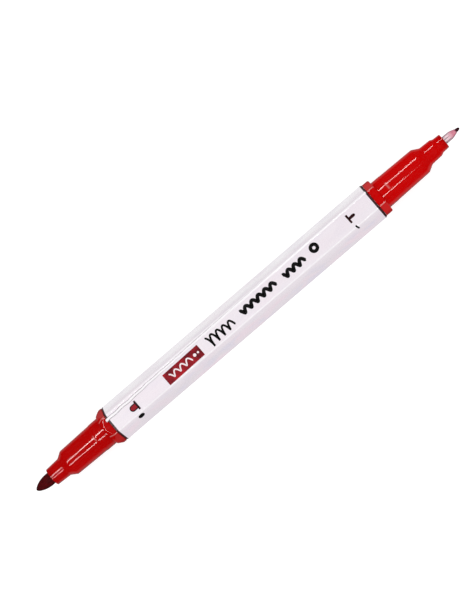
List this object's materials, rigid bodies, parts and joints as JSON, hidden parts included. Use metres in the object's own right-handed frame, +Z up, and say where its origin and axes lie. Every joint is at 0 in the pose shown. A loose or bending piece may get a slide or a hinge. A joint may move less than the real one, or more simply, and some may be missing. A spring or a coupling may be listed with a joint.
{
  "type": "twin-tip marker pen",
  "caption": "Twin-tip marker pen without caps: hexagonal barrel with a bullet nib at one end and a fine nib at the other, both in pull-out nib holders.",
  "frame": {"origin": "under the middle of the pen's length, on the surface that its lower flat lies on", "axes": "+X along the pen towards the fine nib, -X towards the bullet nib, +Z up through the printed flat"},
  "size_m": [0.1336, 0.0098, 0.0087],
  "materials": {
    "barrel_plastic": "satin white moulded plastic",
    "label_film": "glossy printed film, white with a faint lilac pearl",
    "holder_plastic": "glossy red moulded plastic",
    "bullet_felt": "bonded fibre soaked with dark red ink",
    "sheath_plastic": "translucent plastic tinted pink by the ink inside",
    "core_fibre": "ink-soaked fibre point",
    "ink_fibre": "ink-soaked polyester fibre",
    "sleeve_film": "thin plastic film"
  },
  "bodies": {
    "barrel": {"barrel": "barrel_plastic", "label_film": "label_film", "reservoir_sleeve": "sleeve_film", "reservoir_fibre": "ink_fibre"},
    "bullet_holder": {"bullet_nib_holder": "holder_plastic"},
    "bullet_nib": {"bullet_nib": "bullet_felt"},
    "fine_holder": {"fine_nib_holder": "holder_plastic"},
    "fine_nib": {"fine_nib_sheath": "sheath_plastic", "fine_nib_core": "core_fibre"}
  },
  "joints": [
    {"name": "bullet_holder_pull", "type": "slide", "parent": "barrel", "child": "bullet_holder", "axis": [-1, 0, 0], "range_m": [0, 0.018]},
    {"name": "bullet_nib_pull", "type": "slide", "parent": "bullet_holder", "child": "bullet_nib", "axis": [-1, 0, 0], "range_m": [0, 0.036]},
    {"name": "fine_holder_pull", "type": "slide", "parent": "barrel", "child": "fine_holder", "axis": [1, 0, 0], "range_m": [0, 0.018]},
    {"name": "fine_nib_pull", "type": "slide", "parent": "fine_holder", "child": "fine_nib", "axis": [1, 0, 0], "range_m": [0, 0.038]}
  ]
}
